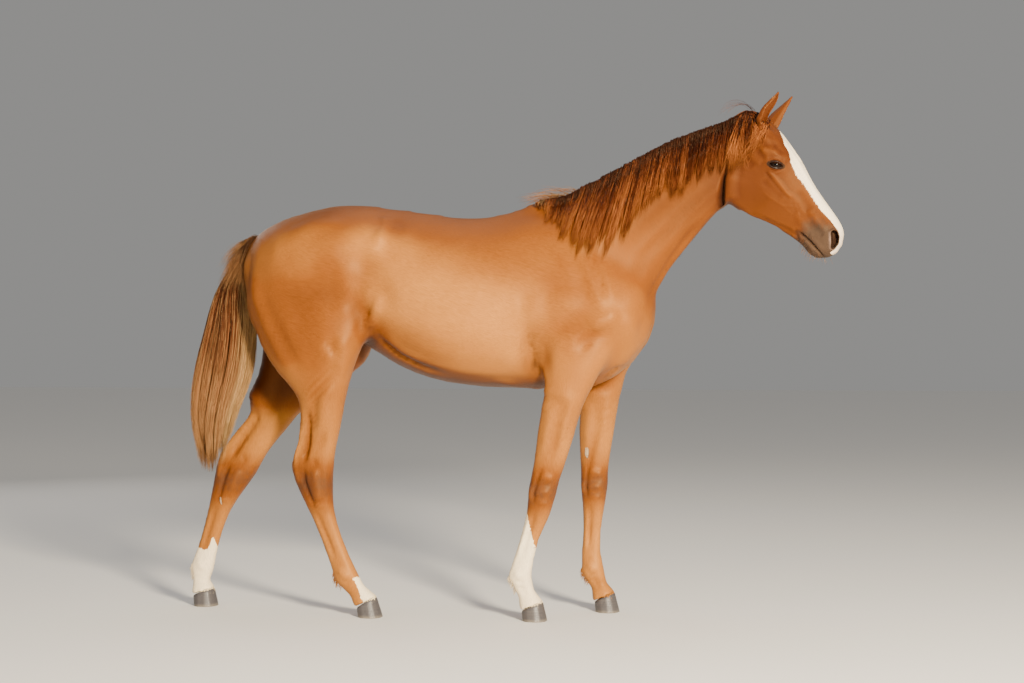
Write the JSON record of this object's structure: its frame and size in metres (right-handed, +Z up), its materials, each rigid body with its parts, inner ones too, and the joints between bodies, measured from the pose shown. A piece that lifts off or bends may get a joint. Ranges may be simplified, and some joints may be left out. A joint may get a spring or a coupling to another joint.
{
  "type": "horse",
  "caption": "Life-size standing yearling horse, head raised and turned a little right, hind legs apart, with mane, tail, eyes and hooves as separate parts.",
  "frame": {"origin": "on the floor, under the middle of the whole horse's box from nose to hind hoof", "axes": "+X forward towards the head, +Y towards the horse's left, +Z up from the soles"},
  "size_m": [2.4308, 0.4698, 1.8723],
  "materials": {
    "coat": "short glossy chestnut summer coat with a white blaze and white on three legs",
    "mane_hair": "long straight hair, dark red-brown with orange strands",
    "tail_hair": "long straight hair, brown at the root to straw at the tips",
    "hoof_horn": "satin blue-grey horn with fine growth rings",
    "eye": "wet dark brown, with a clear domed surface"
  },
  "bodies": {
    "root": {"trunk": "coat", "neck": "coat", "head": "coat", "ear_left": "coat", "ear_right": "coat", "eye_left": "eye", "eye_right": "eye", "mane": "mane_hair", "forelock": "mane_hair", "tail": "tail_hair", "fore_leg_left": "coat", "fore_leg_right": "coat", "hind_leg_left": "coat", "hind_leg_right": "coat", "fore_hoof_left": "hoof_horn", "fore_hoof_right": "hoof_horn", "hind_hoof_left": "hoof_horn", "hind_hoof_right": "hoof_horn"}
  },
  "joints": []
}
